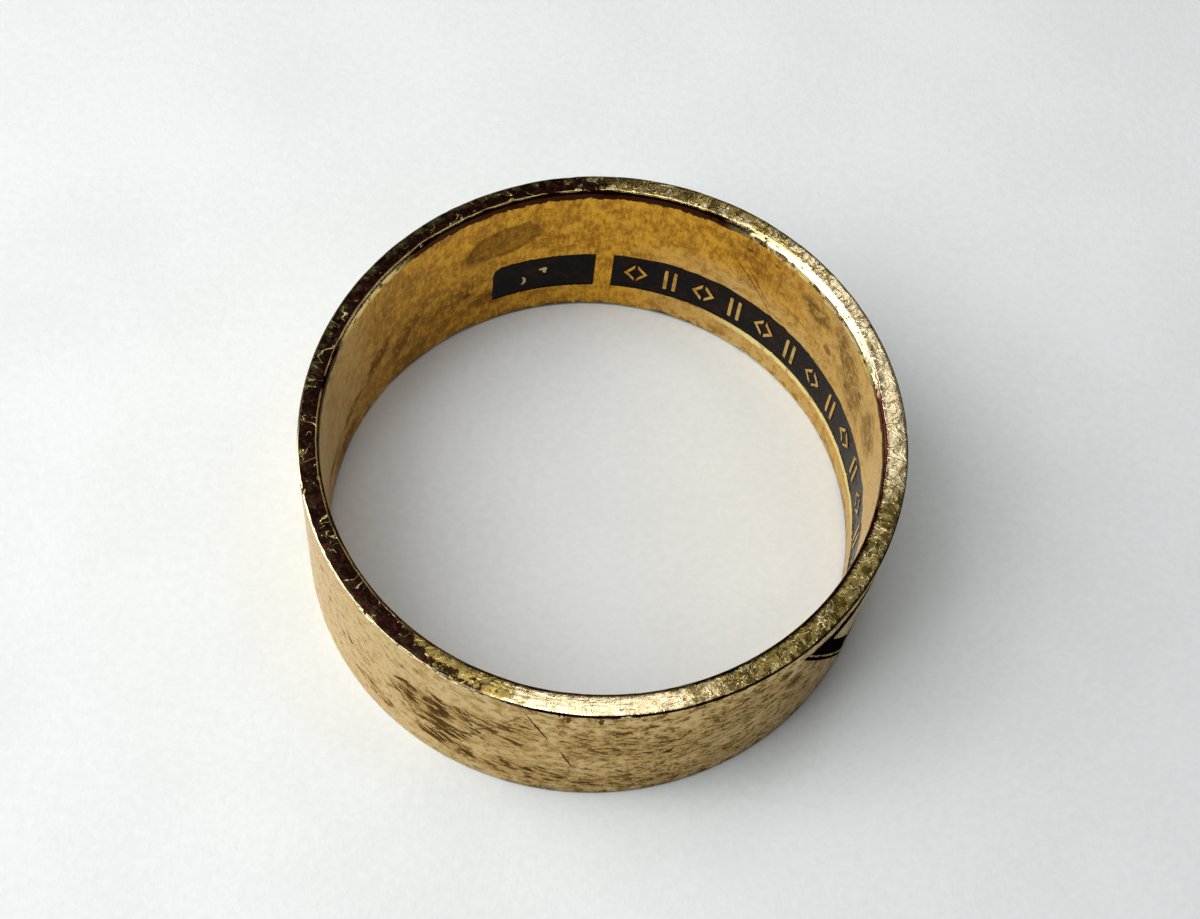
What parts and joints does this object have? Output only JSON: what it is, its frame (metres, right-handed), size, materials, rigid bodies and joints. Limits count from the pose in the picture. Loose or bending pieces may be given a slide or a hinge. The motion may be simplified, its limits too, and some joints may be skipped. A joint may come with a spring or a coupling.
{
  "type": "flat band finger ring",
  "caption": "Flat gold finger band with black enamel let into its finger hole round a border of gold marks, and into its outer wall as a triangle.",
  "frame": {"origin": "on the surface that the ring lies on, below the middle of its outer wall", "axes": "+Z along the finger, from the edge that the ring lies on to its upper edge; the outer triangle is on the +X side, a little towards -Y"},
  "size_m": [0.021, 0.021, 0.0079],
  "materials": {
    "worn_gold": "yellow gold, polished once and now scratched, with brown tarnish in patches and dark edges",
    "black_enamel": "glossy black enamel, slightly worn, with faint reddish brown spots"
  },
  "bodies": {
    "root": {"band": "worn_gold", "long_inner_panel": "black_enamel", "short_inner_panel": "black_enamel", "outer_triangle": "black_enamel"}
  },
  "joints": []
}
